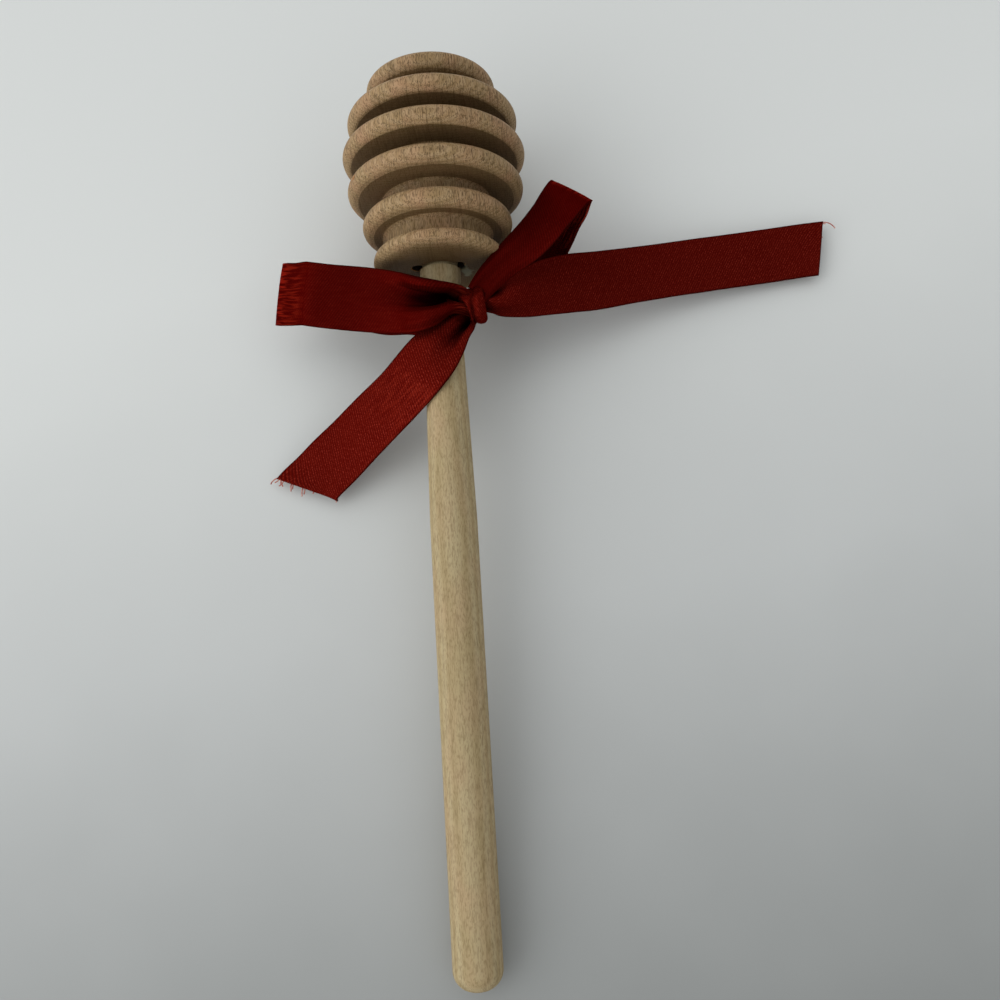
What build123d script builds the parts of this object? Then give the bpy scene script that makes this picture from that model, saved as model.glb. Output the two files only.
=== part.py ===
from build123d import *
import math
import os

# Honey dipper, lying on a table with the head pointing along +Y
# The turned parts are drawn along Y from the butt of the handle, then tilted into the resting pose

# Handle
handle_radius = 4.0
neck_radius = 3.1
grip_length = 74.0
butt_round = 3.2
handle_reach = 119.0        # from the butt to the underside of the head
tenon_length = 20.0
tenon_chamfer = 0.5

# Head
head_radius = 16.34
core_radius = 9.2
ring_pitch = 6.55
ring_width = 3.5
rim_drop = 1.6              # how far the rounded rim falls from its crest to the groove wall
rim_flank_slope = 60.0      # degrees that a rim's straight flanks lean from the ring's crest line
groove_root_chamfer = 1.0
underside_rim = 1.35        # from the crest of the lowest ring to the underside
end_dome = 0.6
mouth_width = 1.2           # chamfer round the bore
# Radius of each ring from the handle outward, as a share of head_radius
ring_radius_shares = (0.709, 0.812, 0.957, 1.0, 0.936, 0.712)
rim_slant_share = 0.7       # how far a rim follows the egg shape of the head

# Joint between head and handle
glue_gap = 0.1
bore_end_gap = 0.8

# Ribbon
ribbon_width = 11.0
ribbon_thickness = 0.3
ribbon_gap = 0.05
wrap_width = 4.4
wrap_bulk = 0.5
head_clearance = 0.2        # between the left loop's edge and the underside of the head
loop_lean_share = 0.233     # how much further the loop leans towards the head, as a share of the first ring
knot_length = 4.2
knot_radius = 2.75
knot_folds = 2
knot_fold_depth = 0.35
knot_bearing = 27.0         # degrees above the horizontal, seen from the butt
knot_heading = 8.0          # degrees that the knot's own axis turns away from X

left_loop_reach = 36.0
left_loop_heading = 171.0
right_loop_reach = 27.0
right_loop_heading = 50.0
left_tail_reach = 42.0
left_tail_heading = 219.0
right_tail_reach = 66.0
right_tail_heading = 7.0
steps_between_stations = 2

# Stations of each stretch of ribbon, going out from the knot
# along, aside: shares of the reach; height: share of the knot's height above the table
# turn, bank: degrees; width, crown: shares of the ribbon's width
left_loop_shares = (
    (0.03, -0.01, 1.10, 0, -10, 0.28, 0.00),
    (0.10, 0.00, 1.17, 0, -10, 0.38, -0.03),
    (0.18, 0.01, 1.19, -4, -14, 0.56, -0.06),
    (0.26, 0.02, 1.17, -4, -18, 0.80, -0.05),
    (0.37, 0.02, 1.11, -2, -21, 0.94, -0.03),
    (0.52, 0.02, 1.07, 1, -23, 1.00, 0.02),
    (0.69, 0.01, 1.04, 4, -24, 1.00, 0.02),
    (0.85, 0.00, 0.99, 4, -24, 1.00, 0.02),
    (0.94, -0.02, 0.90, 5, -24, 1.00, 0.02),
    (0.99, -0.05, 0.78, 5, -23, 1.00, 0.02),
    (1.00, -0.08, 0.64, 5, -22, 1.00, 0.02),
    (0.96, -0.10, 0.53, 5, -21, 1.00, 0.02),
    (0.87, -0.12, 0.47, 5, -20, 1.00, 0.02),
    (0.71, -0.13, 0.46, 4, -19, 1.00, 0.02),
    (0.57, -0.08, 0.54, 2, -18, 0.92, 0.02),
    (0.44, -0.03, 0.70, 0, -16, 0.78, 0.02),
    (0.33, -0.02, 0.89, 0, -12, 0.62, 0.02),
    (0.25, 0.00, 1.05, 0, -10, 0.48, 0.00),
    (0.18, 0.00, 1.11, 0, -10, 0.40, 0.00),
    (0.10, 0.00, 1.10, 0, -10, 0.32, 0.00),
    (0.03, -0.01, 1.03, 0, -10, 0.26, 0.00),
)
right_loop_shares = (
    (0.05, -0.01, 1.09, 10, 6, 0.28, 0.00),
    (0.16, -0.01, 1.13, 16, 4, 0.32, 0.04),
    (0.29, -0.02, 1.18, 6, -4, 0.44, 0.06),
    (0.38, -0.04, 1.21, 5, -14, 0.60, 0.05),
    (0.47, -0.06, 1.23, 4, -22, 0.74, 0.03),
    (0.57, -0.07, 1.25, 2, -29, 0.86, 0.02),
    (0.66, -0.07, 1.26, 5, -32, 0.96, 0.02),
    (0.75, -0.07, 1.26, 8, -32, 1.00, 0.02),
    (0.84, -0.06, 1.24, 9, -29, 1.00, 0.02),
    (0.93, -0.05, 1.19, 10, -26, 1.00, 0.02),
    (0.98, -0.04, 1.10, 10, -25, 1.00, 0.02),
    (0.99, -0.02, 0.98, 10, -25, 1.00, 0.02),
    (0.95, -0.02, 0.85, 10, -25, 1.00, 0.02),
    (0.89, -0.01, 0.72, 10, -25, 1.00, 0.02),
    (0.82, -0.01, 0.60, 10, -24, 1.00, 0.02),
    (0.74, -0.01, 0.51, 10, -22, 1.00, 0.02),
    (0.62, -0.03, 0.48, 10, -20, 1.00, 0.02),
    (0.46, -0.06, 0.55, 10, -16, 0.80, 0.04),
    (0.29, -0.06, 0.72, 10, -12, 0.55, 0.06),
    (0.15, -0.05, 0.88, 10, -8, 0.38, 0.04),
    (0.05, -0.02, 0.96, 10, 0, 0.28, 0.00),
)
left_tail_shares = (
    (0.010, 0.010, 0.99, -10, -4, 0.26, 0.00),
    (0.055, 0.015, 1.02, -16, -2, 0.32, 0.01),
    (0.100, 0.027, 1.05, -22, 2, 0.44, 0.01),
    (0.150, 0.028, 1.05, -22, 4, 0.61, 0.03),
    (0.200, 0.030, 1.03, -16, 7, 0.80, 0.04),
    (0.270, 0.038, 0.98, -11, 12, 0.96, 0.03),
    (0.350, 0.042, 0.90, -9, 16, 1.04, 0.02),
    (0.450, 0.036, 0.75, -7, 17, 1.06, 0.02),
    (0.570, 0.020, 0.57, -4, 12, 1.03, 0.02),
    (0.700, 0.006, 0.39, -3, 7, 1.00, 0.02),
    (0.830, -0.003, 0.25, -3, 2, 1.00, 0.02),
    (0.940, -0.008, 0.15, -6, 1, 1.00, 0.02),
    (1.000, -0.005, 0.11, -27, 4, 1.14, 0.02),
)
right_tail_shares = (
    (0.020, 0.006, 1.00, 9, 6, 0.26, 0.00),
    (0.045, 0.003, 1.01, 9, 12, 0.34, 0.05),
    (0.070, 0.002, 1.00, 10, 18, 0.46, 0.06),
    (0.100, 0.008, 0.98, 8, 20, 0.60, 0.05),
    (0.140, 0.019, 0.93, 6, 18, 0.73, 0.04),
    (0.190, 0.035, 0.84, 4, 14, 0.86, 0.03),
    (0.260, 0.050, 0.72, 4, 9, 0.95, 0.02),
    (0.340, 0.062, 0.58, 4, 6, 1.00, 0.02),
    (0.480, 0.083, 0.37, 5, 1, 1.00, 0.02),
    (0.660, 0.094, 0.22, 6, 0, 1.00, 0.02),
    (0.830, 0.095, 0.14, 7, 0, 1.00, 0.02),
    (0.940, 0.093, 0.12, 9, 0, 1.00, 0.02),
    (1.000, 0.088, 0.13, 19, 0, 1.03, 0.02),
)

# Places worked out from the sizes above
underside = handle_reach
first_ring = underside + underside_rim
ring_half = ring_width / 2
ring_radii = [head_radius * share for share in ring_radius_shares]
ring_places = [first_ring + i * ring_pitch for i in range(len(ring_radii))]
widest = ring_radii.index(max(ring_radii))
tenon_end = handle_reach + tenon_length
bore_radius = neck_radius + glue_gap
bore_end = tenon_end + bore_end_gap
head_end = ring_places[-1] + ring_half + end_dome
loop_lean = ring_radii[0] * loop_lean_share
wrap_reach = handle_reach - head_clearance - ribbon_width / 2 - loop_lean


def resting_tilt():
    """Tilt and lift of the axis when the widest ring and the butt's edge both touch the table"""
    rim_round = ring_half
    run = ring_places[widest] - butt_round
    rise = (ring_radii[widest] - rim_round) - (handle_radius - butt_round)
    tilt = math.atan2(rise, run) + math.asin((rim_round - butt_round) / math.hypot(run, rise))
    lift = butt_round + (handle_radius - butt_round) * math.cos(tilt) - butt_round * math.sin(tilt)
    return math.degrees(tilt), lift


tilt, lift = resting_tilt()


def axis_point(reach):
    """Point of the handle's axis at a distance from the butt, in the resting pose"""
    angle = math.radians(tilt)
    return Vector(0, reach * math.cos(angle), lift + reach * math.sin(angle))


def laid_down(piece):
    """Takes a piece drawn along Y to the resting pose"""
    return Pos(0, 0, lift) * Rot(tilt, 0, 0) * piece


def turned(outline):
    """Solid turned from a closed outline of radius and reach"""
    return revolve(make_face(Wire(outline)), Axis.Y)


def build_handle():
    """Dowel with a rounded butt, a straight grip, a tapered neck and the tenon that the head sits on"""
    butt = (handle_radius, butt_round)
    centre = (0, 0)
    flat = (handle_radius - butt_round, 0)
    grip = (handle_radius, grip_length)
    neck = (neck_radius, handle_reach)
    tenon_edge = (neck_radius, tenon_end - tenon_chamfer)
    tenon_tip = (neck_radius - tenon_chamfer, tenon_end)
    outline = [
        Line(centre, flat),
        TangentArc(flat, butt, tangent=(1, 0)),
        Line(butt, grip),
        Line(grip, neck),
        Line(neck, tenon_edge),
        Line(tenon_edge, tenon_tip),
        Line(tenon_tip, (0, tenon_end)),
        Line((0, tenon_end), centre),
    ]
    return turned(outline)


def rim_slant(i):
    """Slope of the head's egg shape at ring i"""
    before = max(i - 1, 0)
    after = min(i + 1, len(ring_radii) - 1)
    rise = ring_radii[after] - ring_radii[before]
    return rim_slant_share * rise / (ring_places[after] - ring_places[before])


def rim_edges(i):
    """Near edge, crest and far edge of ring i"""
    near_half = underside_rim if i == 0 else ring_half
    near_drop = rim_drop * near_half / ring_half + rim_slant(i) * near_half
    far_drop = rim_drop - rim_slant(i) * ring_half
    near = (ring_radii[i] - near_drop, ring_places[i] - near_half)
    crest = (ring_radii[i], ring_places[i])
    far = (ring_radii[i] - far_drop, ring_places[i] + ring_half)
    return near, crest, far


def rim_flank(crest, edge):
    """Point where the round nose of a rim meets its straight flank"""
    slope = math.radians(rim_flank_slope)
    half = abs(edge[1] - crest[1])
    side = 1 if edge[1] > crest[1] else -1
    drop = crest[0] - edge[0]
    nose_radius = (half * math.sin(slope) - drop * math.cos(slope)) / (1 - math.cos(slope))
    radius = crest[0] - nose_radius * (1 - math.cos(slope))
    return radius, crest[1] + side * nose_radius * math.sin(slope)


def groove(far, near):
    """Two walls and a flat root with chamfered corners between one ring and the next"""
    root = core_radius + groove_root_chamfer
    wall_down = (root, far[1])
    floor_start = (core_radius, far[1] + groove_root_chamfer)
    floor_end = (core_radius, near[1] - groove_root_chamfer)
    wall_up = (root, near[1])
    return [
        Line(far, wall_down),
        Line(wall_down, floor_start),
        Line(floor_start, floor_end),
        Line(floor_end, wall_up),
        Line(wall_up, near),
    ]


def build_head():
    """Grooved egg-shaped head with a blind bore for the tenon"""
    mouth = (bore_radius + mouth_width, underside)
    throat = (bore_radius, underside + mouth_width)
    outline = [
        Line((0, bore_end), (bore_radius, bore_end)),
        Line((bore_radius, bore_end), throat),
        Line(throat, mouth),
    ]
    last_edge = mouth
    for i in range(len(ring_radii)):
        near, crest, far = rim_edges(i)
        if i == 0:
            outline.append(Line(last_edge, near))
        else:
            outline += groove(last_edge, near)
        near_flank = rim_flank(crest, near)
        far_flank = rim_flank(crest, far)
        outline.append(Line(near, near_flank))
        outline.append(TangentArc(crest, near_flank, tangent=(0, -1)))
        outline.append(TangentArc(crest, far_flank, tangent=(0, 1)))
        outline.append(Line(far_flank, far))
        last_edge = far
    outline.append(TangentArc((0, head_end), last_edge, tangent=(1, 0)))
    outline.append(Line((0, head_end), (0, bore_end)))
    return turned(outline)


def build_glue_film():
    """Thin sleeve of dried glue between the tenon and the bore"""
    start = underside + mouth_width
    outline = [
        Line((neck_radius, start), (bore_radius, start)),
        Line((bore_radius, start), (bore_radius, tenon_end - tenon_chamfer)),
        Line((bore_radius, tenon_end - tenon_chamfer), (neck_radius, tenon_end - tenon_chamfer)),
        Line((neck_radius, tenon_end - tenon_chamfer), (neck_radius, start)),
    ]
    return turned(outline)


def neck_radius_at(reach):
    """Radius of the tapered neck at a distance from the butt"""
    share = (reach - grip_length) / (handle_reach - grip_length)
    return handle_radius + (neck_radius - handle_radius) * share


def build_neck_wrap():
    """Ribbon pulled tight round the neck, gathered into three soft ridges"""
    ridges = 3
    ridge_width = wrap_width / ridges
    start = wrap_reach - wrap_width / 2
    end = wrap_reach + wrap_width / 2
    inner_start = (neck_radius_at(start) + ribbon_gap, start)
    inner_end = (neck_radius_at(end) + ribbon_gap, end)
    valley = wrap_bulk - ribbon_thickness
    outline = [Line(inner_end, inner_start)]
    last = (inner_start[0] + valley, start)
    outline.append(Line(inner_start, last))
    for i in range(ridges):
        top = start + (i + 0.5) * ridge_width
        foot = start + (i + 1) * ridge_width
        crest = (neck_radius_at(top) + ribbon_gap + wrap_bulk, top)
        next_valley = (neck_radius_at(foot) + ribbon_gap + valley, foot)
        outline.append(ThreePointArc(last, crest, next_valley))
        last = next_valley
    outline.append(Line(last, inner_end))
    return turned(outline)


def knot_centre():
    """Middle of the knot, which sits on the wrap at the upper right of the neck"""
    bearing = math.radians(knot_bearing)
    out = neck_radius_at(wrap_reach) + ribbon_gap + wrap_bulk + knot_radius
    seat = axis_point(wrap_reach)
    across = Vector(math.cos(bearing), 0, 0)
    upward = Vector(0, -math.sin(math.radians(tilt)), math.cos(math.radians(tilt))) * math.sin(bearing)
    return seat + (across + upward) * out


def build_knot():
    """Barrel of ribbon with its folds running round the bundle that it holds"""
    fold_width = knot_length / knot_folds
    end_radius = knot_radius - 2 * knot_fold_depth
    start = -knot_length / 2
    last = (start, end_radius)
    outline = [Line((start, 0), last)]
    for i in range(knot_folds):
        crest = (start + (i + 0.5) * fold_width, knot_radius)
        inner = i + 1 < knot_folds
        foot_radius = knot_radius - knot_fold_depth if inner else end_radius
        foot = (start + (i + 1) * fold_width, foot_radius)
        outline.append(ThreePointArc(last, crest, foot))
        last = foot
    outline.append(Line(last, (-start, 0)))
    outline.append(Line((-start, 0), (start, 0)))
    barrel = revolve(make_face(Wire(outline)), Axis.X)
    return Pos(*knot_centre()) * Rot(0, 0, knot_heading) * barrel


def eased(stations):
    """Adds stations between the chosen ones along a smooth curve through them"""
    smooth = []
    last = len(stations) - 1
    for i in range(last):
        before = stations[max(i - 1, 0)]
        start = stations[i]
        end = stations[i + 1]
        after = stations[min(i + 2, last)]
        for step in range(steps_between_stations):
            t = step / steps_between_stations
            row = []
            for a, b, c, d in zip(before, start, end, after):
                pull = (c - a) * t + (2 * a - 5 * b + 4 * c - d) * t**2
                row.append(b + (pull + (3 * b - a - 3 * c + d) * t**3) / 2)
            smooth.append(tuple(row))
    smooth.append(stations[last])
    return smooth


def strip_frame(heading):
    """Directions along and beside a stretch of ribbon on the table plane"""
    angle = math.radians(heading)
    along = Vector(math.cos(angle), math.sin(angle), 0)
    beside = Vector(-math.sin(angle), math.cos(angle), 0)
    return along, beside


def strip_section(centre, across, normal, width, crown):
    """Thin crowned section of the ribbon at one station"""
    half = across * (width / 2)
    face_up = normal * (ribbon_thickness / 2)
    middle = centre + normal * crown
    top = ThreePointArc(centre - half + face_up, middle + face_up, centre + half + face_up)
    bottom = ThreePointArc(centre + half - face_up, middle - face_up, centre - half - face_up)
    first_edge = Line(top @ 1, bottom @ 0)
    second_edge = Line(bottom @ 1, top @ 0)
    return Wire([top, first_edge, bottom, second_edge])


def build_strip(station_shares, heading, reach):
    """Stretch of ribbon lofted through its stations"""
    knot_place = knot_centre()
    along, beside = strip_frame(heading)
    upward = Vector(0, 0, 1)
    stations = eased(station_shares)
    foot = Vector(knot_place.X, knot_place.Y, 0)
    centres = [
        foot + along * (row[0] * reach) + beside * (row[1] * reach) + upward * (row[2] * knot_place.Z)
        for row in stations
    ]
    least_crown = ribbon_thickness / 4
    sections = []
    for i, row in enumerate(stations):
        turn = math.radians(row[3])
        bank = math.radians(row[4])
        level = beside * math.cos(turn) + along * math.sin(turn)
        across = level * math.cos(bank) + upward * math.sin(bank)
        ahead = centres[min(i + 1, len(centres) - 1)] - centres[max(i - 1, 0)]
        normal = ahead.cross(across).normalized()
        crown = row[6] * ribbon_width
        if abs(crown) < least_crown:
            crown = least_crown
        sections.append(strip_section(centres[i], across, normal, row[5] * ribbon_width, crown))
    return Solid.make_loft(sections, ruled=True)


def main():
    knot = build_knot()
    wrap = laid_down(build_neck_wrap())
    strips = {
        "left_loop": build_strip(left_loop_shares, left_loop_heading, left_loop_reach),
        "right_loop": build_strip(right_loop_shares, right_loop_heading, right_loop_reach),
        "left_tail": build_strip(left_tail_shares, left_tail_heading, left_tail_reach),
        "right_tail": build_strip(right_tail_shares, right_tail_heading, right_tail_reach),
    }
    nodes = {
        "handle": laid_down(build_handle()),
        "head": laid_down(build_head()),
        "glue_film": laid_down(build_glue_film()),
        "neck_wrap": wrap,
        "knot": knot,
    }
    for name, strip in strips.items():
        nodes[name] = strip - knot
    whole = Compound([solid for node in nodes.values() for solid in node.solids()]).bounding_box()
    shift = Pos(-(whole.min.X + whole.max.X) / 2, -(whole.min.Y + whole.max.Y) / 2, -whole.min.Z)
    os.makedirs("parts", exist_ok=True)
    for name, shape in nodes.items():
        solids = [shift * solid for solid in shape.solids()]
        placed = solids[0] if len(solids) == 1 else Compound(solids)
        export_step(placed, f"parts/{name}.step")
    print("tilt", round(tilt, 3), "lift", round(lift, 3), "knot", knot_centre(), "shift", shift.position)


main()
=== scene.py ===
import math

import bmesh
import bpy
from mathutils import Matrix, Vector, noise


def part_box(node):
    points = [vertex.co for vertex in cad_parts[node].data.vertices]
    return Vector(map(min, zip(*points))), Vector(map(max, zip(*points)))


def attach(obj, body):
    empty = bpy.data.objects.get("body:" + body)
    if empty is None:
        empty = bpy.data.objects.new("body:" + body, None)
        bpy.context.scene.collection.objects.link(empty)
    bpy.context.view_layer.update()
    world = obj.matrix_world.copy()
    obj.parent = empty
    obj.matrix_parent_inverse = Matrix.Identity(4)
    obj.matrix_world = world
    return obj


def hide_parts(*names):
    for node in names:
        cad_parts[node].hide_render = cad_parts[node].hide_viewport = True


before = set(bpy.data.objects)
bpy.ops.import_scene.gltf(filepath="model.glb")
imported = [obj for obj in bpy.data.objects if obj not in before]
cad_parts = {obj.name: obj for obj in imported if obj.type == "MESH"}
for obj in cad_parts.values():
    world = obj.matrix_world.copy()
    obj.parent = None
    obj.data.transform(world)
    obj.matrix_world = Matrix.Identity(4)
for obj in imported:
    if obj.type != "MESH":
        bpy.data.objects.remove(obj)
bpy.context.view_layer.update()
scene = bpy.context.scene
mm = 0.001


# Camera
# Held by hand over the grip, looking down and a little towards the head
# It is placed from the butt of the lying dipper, whose axis the wooden pieces share
handle_radius = 4.0 * mm
butt_round = 3.2 * mm
lie_tilt = math.radians(5.152)          # the dipper lies on its widest ring and on its butt
butt_flat = handle_radius - butt_round
lie_height = butt_round + butt_flat * math.cos(lie_tilt) - butt_round * math.sin(lie_tilt)
handle_low, handle_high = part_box("handle")
axis_x = (handle_low.x + handle_high.x) / 2
butt_overhang = butt_round * (1 - math.cos(lie_tilt)) + butt_flat * math.sin(lie_tilt)
butt_y = handle_low.y + butt_overhang
lying = Matrix.Translation((axis_x, butt_y, lie_height)) @ Matrix.Rotation(lie_tilt, 4, "X")

camera_from_butt = Vector((13.64, 31.45, 173.49)) * mm
camera_turn = math.radians(-4.101)
camera_pitch = math.radians(15.373)
camera_roll = math.radians(3.0)
sensor_width = 36.0
focal_share = 1.001                     # focal length over the width of the picture
clip_start = 10 * mm
clip_end = 20.0

camera_data = bpy.data.cameras.new("camera")
camera_data.sensor_width = sensor_width
camera_data.lens = sensor_width * focal_share
camera_data.clip_start = clip_start
camera_data.clip_end = clip_end
camera = bpy.data.objects.new("camera", camera_data)
camera_aim = Matrix.Rotation(camera_turn, 4, "Z") @ Matrix.Rotation(camera_pitch, 4, "X")
camera_aim = camera_aim @ Matrix.Rotation(camera_roll, 4, "Y")
camera_place = Vector((axis_x, butt_y, 0)) + camera_from_butt
camera.matrix_world = Matrix.Translation(camera_place) @ camera_aim
scene.collection.objects.link(camera)
scene.camera = camera
scene.view_settings.view_transform = "Standard"


# Table
# A sheet of matt white paper that takes the soft shadows of the dipper and the bow
paper_size = 3.0
paper_shade_low = -90.0                 # millimetres, beside the butt
paper_shade_high = 60.0                 # millimetres, beside the head
paper_shading_side = (-0.15, 1.0, 0.0)  # across the paper from the dark end to the light one
# painted shade: the paper's tone runs from grey by the butt to light by the head, and faint patches move
# where it changes
painted_paper_shades = ((0.0, "#949694"), (0.14, "#a4a6a4"), (0.5, "#c9cbc9"), (0.87, "#dddfdc"), (1.0, "#e1e3e0"))
paper_cloud = 30.0                      # millimetres across one faint patch of tone
paper_cloud_shift = 14.0                # millimetres that the patches move the shading
paper_tooth = 0.5                       # millimetres, drawn coarser than real fibres so that it shows
paper_relief = 0.01 * mm


def linear_colour(code):
    """Linear RGBA of an sRGB hex colour"""
    parts = [int(code[i:i + 2], 16) / 255 for i in (1, 3, 5)]
    return [c / 12.92 if c <= 0.04045 else ((c + 0.055) / 1.055) ** 2.4 for c in parts] + [1.0]


def add_node(tree, kind, inputs, stops=(), **settings):
    """Adds a node with its settings, its socket values or links, and a ramp's stops"""
    node = tree.nodes.new("ShaderNode" + kind)
    for name, value in settings.items():
        setattr(node, name, value)
    for name, value in inputs.items():
        if isinstance(name, int):
            socket = node.inputs[name]
        else:
            socket = next(s for s in node.inputs if s.enabled and s.name == name)
        if isinstance(value, bpy.types.Node):
            value = next(s for s in value.outputs if s.enabled)
        if isinstance(value, bpy.types.NodeSocket):
            tree.links.new(value, socket)
        else:
            socket.default_value = value
    for i, (place, colour) in enumerate(stops):
        ramp = node.color_ramp.elements
        stop = ramp[i] if i < 2 else ramp.new(place)
        stop.position = place
        stop.color = linear_colour(colour) if isinstance(colour, str) else (colour, colour, colour, 1)
    return node


def new_material(name):
    """Empty node material and its tree"""
    material = bpy.data.materials.new(name)
    material.use_nodes = True
    material.node_tree.nodes.clear()
    return material, material.node_tree


def object_in_millimetres(tree):
    """Object coordinates counted in millimetres"""
    place = add_node(tree, "TexCoord", {})
    return add_node(tree, "Mapping", {"Vector": place.outputs["Object"], "Scale": (1 / mm,) * 3})


def ranged(tree, value, low, high, start=0.0, end=1.0, **settings):
    """Value that runs from start to end while the given one runs from low to high"""
    inputs = {"Value": value, "From Min": low, "From Max": high, "To Min": start, "To Max": end}
    return add_node(tree, "MapRange", inputs, **settings).outputs[0]


def calculated(tree, operation, *values):
    """Result of plain arithmetic"""
    return add_node(tree, "Math", dict(enumerate(values)), operation=operation).outputs[0]


def dotted(tree, vector, direction):
    """Length of a vector along a direction"""
    return add_node(tree, "VectorMath", {0: vector, 1: direction}, operation="DOT_PRODUCT").outputs["Value"]


def matt_paper():
    """Uncoated copy paper: flat white and without gloss, with painted shade that makes it greyer by the
    butt, where the hand shades it
    """
    material, tree = new_material("matt_paper")
    place = object_in_millimetres(tree)
    cloud = add_node(tree, "TexNoise", {"Vector": place, "Scale": 1 / paper_cloud, "Detail": 3.0})
    moved = ranged(tree, cloud, 0.0, 1.0, -paper_cloud_shift / 2, paper_cloud_shift / 2)
    depth = calculated(tree, "ADD", dotted(tree, place, paper_shading_side), moved)
    shaded = ranged(tree, depth, paper_shade_low, paper_shade_high)
    tone = add_node(tree, "ValToRGB", {"Fac": shaded}, stops=painted_paper_shades)
    tooth = add_node(tree, "TexNoise", {"Vector": place, "Scale": 1 / paper_tooth, "Detail": 2.0})
    relief = add_node(tree, "Bump", {"Height": tooth.outputs[0], "Distance": paper_relief, "Strength": 0.5})
    surface = add_node(tree, "BsdfPrincipled", {"Base Color": tone, "Roughness": 0.9, "Normal": relief,
                                                "Specular IOR Level": 0.2})
    add_node(tree, "OutputMaterial", {"Surface": surface})
    return material


def finished(name, mesh, material):
    """Object made of a finished bmesh, at the origin and with one material"""
    data = bpy.data.meshes.new(name)
    mesh.to_mesh(data)
    mesh.free()
    data.materials.append(material)
    data.shade_smooth()
    made = bpy.data.objects.new(name, data)
    scene.collection.objects.link(made)
    return made


paper_mesh = bmesh.new()
bmesh.ops.create_grid(paper_mesh, x_segments=1, y_segments=1, size=paper_size / 2)
paper = finished("paper", paper_mesh, matt_paper())


# Light
# The soft light of a pale room, brighter on the left and towards the viewer, and one large dim lamp there
# The hand and phone that took the photo keep some light away from straight above
light_place = Vector((-0.40, -0.12, 0.24))
light_width = 0.6
light_watts = 0.6
room_colour = "#f4f6f8"
room_bright_side = Vector((-0.85, -0.25, 0.45)).normalized()
room_dim = 0.28
room_bright = 1.4
bow_place = Vector((0, 30 * mm, 20 * mm))
phone_side = (camera_place - bow_place).normalized()
phone_shade = 0.75                      # share of the light from there that the phone takes away
phone_edges = (math.cos(math.radians(40)), math.cos(math.radians(12)))

light_data = bpy.data.lights.new("window_light", "AREA")
light_data.shape = "DISK"
light_data.size = light_width
light_data.energy = light_watts
light = bpy.data.objects.new("window_light", light_data)
light_aim = (-light_place).to_track_quat("-Z", "Y").to_matrix().to_4x4()
light.matrix_world = Matrix.Translation(light_place) @ light_aim
scene.collection.objects.link(light)
room = bpy.data.worlds.new("room")
room.use_nodes = True
room_tree = room.node_tree
room_tree.nodes.clear()
outward = add_node(room_tree, "TexCoord", {}).outputs["Generated"]
room_strength = ranged(room_tree, dotted(room_tree, outward, room_bright_side), -1.0, 1.0,
                       room_dim, room_bright)
shade = ranged(room_tree, dotted(room_tree, outward, phone_side), phone_edges[0], phone_edges[1],
               1.0, 1 - phone_shade, interpolation_type="SMOOTHSTEP")
shaded = calculated(room_tree, "MULTIPLY", room_strength, shade)
room_light = add_node(room_tree, "Background", {"Color": linear_colour(room_colour), "Strength": shaded})
add_node(room_tree, "OutputWorld", {"Surface": room_light})
scene.world = room


# Head
# One piece of beech, turned to an egg and then cut into six rings with a parting tool
# The bore for the handle has torn a little at its mouth, and one ring has a nick
head_radius = 16.34 * mm
core_radius = 9.2 * mm
ring_pitch = 6.55 * mm
ring_width = 3.5 * mm
rim_drop = 1.5 * mm                     # from a ring's crest to the edges of its rim
rim_flank_slope = math.radians(74)
underside_round = 3.9 * mm              # from the flat underside's edge out to the first crest
groove_root_round = 1.0 * mm
underside_reach = 119.0 * mm
underside_rim = 1.35 * mm               # from the flat underside up to the first ring's crest
end_dome = 0.6 * mm                     # how far the far end bulges
ring_radius_shares = (0.709, 0.812, 0.957, 1.0, 0.936, 0.712)
rim_slant_share = 0.7                   # how much of the egg's slope each ring's crest follows
bore_radius = 3.2 * mm
bore_depth = 20.8 * mm
mouth_width = 0.6 * mm                  # of the bevel at the mouth of the bore
head_turn_steps = 220
rim_arc_steps = 8
root_arc_steps = 4
turning_wobble = 0.05 * mm
wobble_length = 9 * mm
underside_steps = 26
underside_crowding = 1.8                # draws the points towards the bore, where the wood is torn
doubles_reach = 0.002 * mm
head_sharp_angle = math.radians(13)

first_ring = underside_reach + underside_rim
ring_half = ring_width / 2
ring_radii = [head_radius * share for share in ring_radius_shares]
ring_places = [first_ring + i * ring_pitch for i in range(len(ring_radii))]


def rim_slant(i):
    """Slope of the head's egg shape at ring i"""
    before = max(i - 1, 0)
    after = min(i + 1, len(ring_radii) - 1)
    slope = (ring_radii[after] - ring_radii[before]) / (ring_places[after] - ring_places[before])
    return rim_slant_share * slope


def rim_side(i, side):
    """Points from the crest of ring i over its round nose and down its straight flank on one side"""
    drop = rim_drop - side * rim_slant(i) * ring_half
    slope = rim_flank_slope
    nose = (ring_half * math.sin(slope) - drop * math.cos(slope)) / (1 - math.cos(slope))
    points = []
    for step in range(rim_arc_steps + 1):
        angle = slope * step / rim_arc_steps
        radius = ring_radii[i] - nose * (1 - math.cos(angle))
        points.append((radius, ring_places[i] + side * nose * math.sin(angle)))
    points.append((ring_radii[i] - drop, ring_places[i] + side * ring_half))
    return points


def root_corner(reach, side):
    """Round corner between a groove's wall and its floor"""
    centre_radius = core_radius + groove_root_round
    points = []
    for step in range(root_arc_steps + 1):
        angle = math.pi / 2 * step / root_arc_steps
        radius = centre_radius - groove_root_round * math.sin(angle)
        points.append((radius, reach + side * groove_root_round * (1 - math.cos(angle))))
    return points


def underside_curve():
    """Points from the flat underside out to the crest of the first ring, along a quarter of an ellipse"""
    points = []
    for step in range(2 * rim_arc_steps + 1):
        angle = math.pi / 2 * step / (2 * rim_arc_steps)
        radius = ring_radii[0] - underside_round * (1 - math.sin(angle))
        points.append((radius, ring_places[0] - underside_rim * math.cos(angle)))
    return points


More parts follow.
